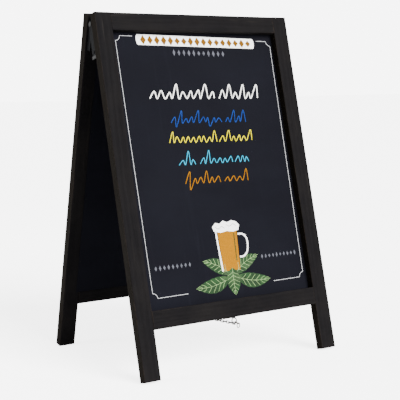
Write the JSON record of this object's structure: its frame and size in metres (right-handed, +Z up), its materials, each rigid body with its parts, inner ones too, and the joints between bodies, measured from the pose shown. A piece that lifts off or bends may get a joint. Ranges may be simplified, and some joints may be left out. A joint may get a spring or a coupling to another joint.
{
  "type": "sandwich board",
  "caption": "Folding A-frame chalkboard: two framed writing boards hinged along the top, with a spread-limiting chain between the bottom rails.",
  "frame": {"origin": "on the ground, under the middle of the standing board", "axes": "+X to the right seen from the front face, +Y to the back, +Z up"},
  "size_m": [0.55, 0.4506, 0.8265],
  "materials": {
    "stained_wood": "dark brown-black stained and lacquered softwood, satin",
    "chalkboard": "matt blue-black writing surface",
    "dowel_wood": "plain beech",
    "panel_pin_steel": "dull steel",
    "dark_steel": "dark grey-blue coated pressed steel",
    "bright_zinc": "bright zinc plate",
    "chain_steel": "nickel-plated wire"
  },
  "bodies": {
    "front_board": {"front_bottom_rail": "stained_wood", "front_dowels": "dowel_wood", "front_hinge_screws": "bright_zinc", "front_left_leg": "stained_wood", "front_panel": "chalkboard", "front_panel_pins": "panel_pin_steel", "front_right_leg": "stained_wood", "front_screw_eye": "bright_zinc", "front_top_rail": "stained_wood", "left_hinge_button": "bright_zinc", "left_hinge_front_leaf": "dark_steel", "left_hinge_rivet": "bright_zinc", "left_hinge_stop": "bright_zinc", "right_hinge_button": "bright_zinc", "right_hinge_front_leaf": "dark_steel", "right_hinge_rivet": "bright_zinc", "right_hinge_stop": "bright_zinc"},
    "rear_board": {"left_hinge_rear_leaf": "dark_steel", "rear_bottom_rail": "stained_wood", "rear_dowels": "dowel_wood", "rear_hinge_screws": "bright_zinc", "rear_left_leg": "stained_wood", "rear_panel": "chalkboard", "rear_panel_pins": "panel_pin_steel", "rear_right_leg": "stained_wood", "rear_screw_eye": "bright_zinc", "rear_top_rail": "stained_wood", "right_hinge_rear_leaf": "dark_steel"},
    "front_chain": {"front_chain_links": "chain_steel"},
    "rear_chain": {"rear_chain_links": "chain_steel"},
    "end_links": {"chain_end_links": "chain_steel"}
  },
  "joints": [
    {"name": "fold", "type": "hinge", "parent": "front_board", "child": "rear_board", "pos_m": [0, 0, 0.79947], "axis": [-1, 0, 0], "range_deg": [0, 27.2]},
    {"name": "front_chain_swing", "type": "hinge", "parent": "front_board", "child": "front_chain", "pos_m": [-0.0084, -0.19178, 0.09687], "axis": [-1, 0, 0], "range_deg": [0, 92.8]},
    {"name": "rear_chain_swing", "type": "hinge", "parent": "rear_board", "child": "rear_chain", "pos_m": [0, 0.19178, 0.09687], "axis": [1, 0, 0], "range_deg": [0, 92.8]},
    {"name": "end_links_swing", "type": "hinge", "parent": "front_board", "child": "end_links", "pos_m": [-0.00342, -0.19123, 0.09912], "axis": [0.6428, 0, 0.766], "range_deg": [-25, 25]}
  ],
  "couplings": [
    {"joint": "front_chain_swing", "follows": "fold", "ratio": 3.41},
    {"joint": "rear_chain_swing", "follows": "fold", "ratio": 3.41}
  ]
}
